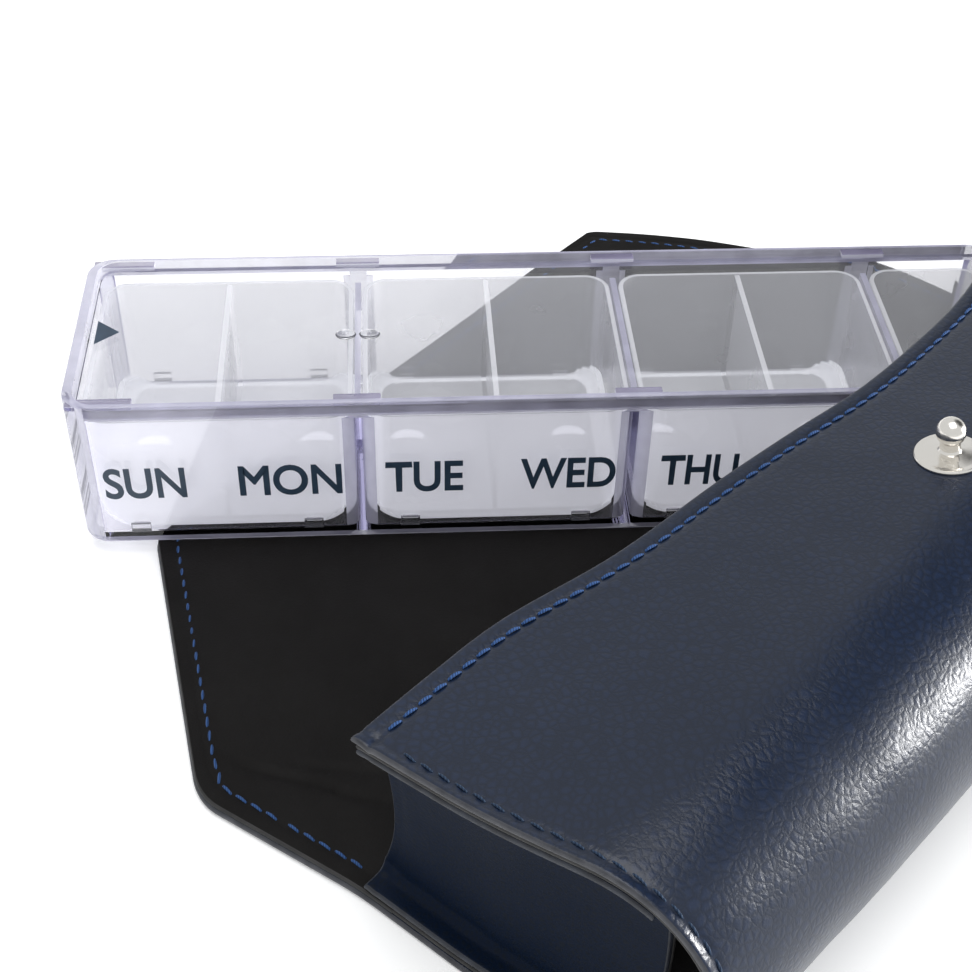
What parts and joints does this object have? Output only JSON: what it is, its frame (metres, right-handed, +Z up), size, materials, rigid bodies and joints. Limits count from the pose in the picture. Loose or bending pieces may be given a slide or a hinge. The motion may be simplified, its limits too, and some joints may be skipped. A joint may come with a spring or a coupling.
{
  "type": "travel pill organizer",
  "caption": "Clear weekly pill box with a sliding lid and frosted liners, lying half out of its navy leather flap case with a ball stud.",
  "frame": {"origin": "bottom centre of the whole object's box, on the surface it lies on", "axes": "+X along the pill box from its Sunday end to its Saturday end, +Y to the back of the pill box, +Z up"},
  "size_m": [0.2128, 0.202, 0.0466],
  "materials": {
    "clear": "clear moulded plastic with a faint lavender tint at its edges",
    "frosted": "translucent frosted plastic",
    "leather": "pebbled navy leather, semi-gloss",
    "lining": "smooth black lining leather",
    "thread": "twisted blue sewing thread",
    "nickel": "polished nickel plate"
  },
  "bodies": {
    "leather_case": {"case_leather": "leather", "case_lining": "lining", "left_gusset_leather": "leather", "left_gusset_lining": "lining", "left_seam_stitching": "thread", "right_gusset_leather": "leather", "right_gusset_lining": "lining", "right_seam_stitching": "thread", "mouth_stitching": "thread", "ball_stud": "nickel", "stud_screw": "nickel"},
    "flap_spine": {"flap_spine_leather": "leather", "flap_spine_lining": "lining"},
    "flap_cover": {"flap_cover_leather": "leather", "flap_cover_lining": "lining"},
    "lid": {"sliding_lid": "clear"},
    "pill_box": {"pill_case": "clear", "tray_sun_mon": "frosted", "tray_tue_wed": "frosted", "tray_thu_fri": "frosted", "tray_sat": "frosted"}
  },
  "joints": [
    {"name": "organizer_slide", "type": "slide", "parent": "leather_case", "child": "lid", "axis": [-1, 0, 0], "range_m": [0, 0.155]},
    {"name": "lid_slide", "type": "slide", "parent": "lid", "child": "pill_box", "axis": [-1, 0, 0], "range_m": [0, 0.146]},
    {"name": "flap_spine_fold", "type": "hinge", "parent": "leather_case", "child": "flap_spine", "pos_m": [0.00143, 0.00601, 0.002], "axis": [0.6756, 0.7373, 0], "range_deg": [0, 90], "deforming": ["flap_spine_leather", "flap_spine_lining"]},
    {"name": "flap_cover_fold", "type": "hinge", "parent": "flap_spine", "child": "flap_cover", "pos_m": [-0.02342, 0.02877, 0.002], "axis": [0.6756, 0.7373, 0], "range_deg": [0, 81.23], "deforming": ["flap_cover_leather", "flap_cover_lining"]}
  ],
  "couplings": [
    {"joint": "flap_spine_fold", "follows": "organizer_slide", "rad_per_m": 10.13},
    {"joint": "flap_cover_fold", "follows": "organizer_slide", "rad_per_m": 9.146}
  ]
}
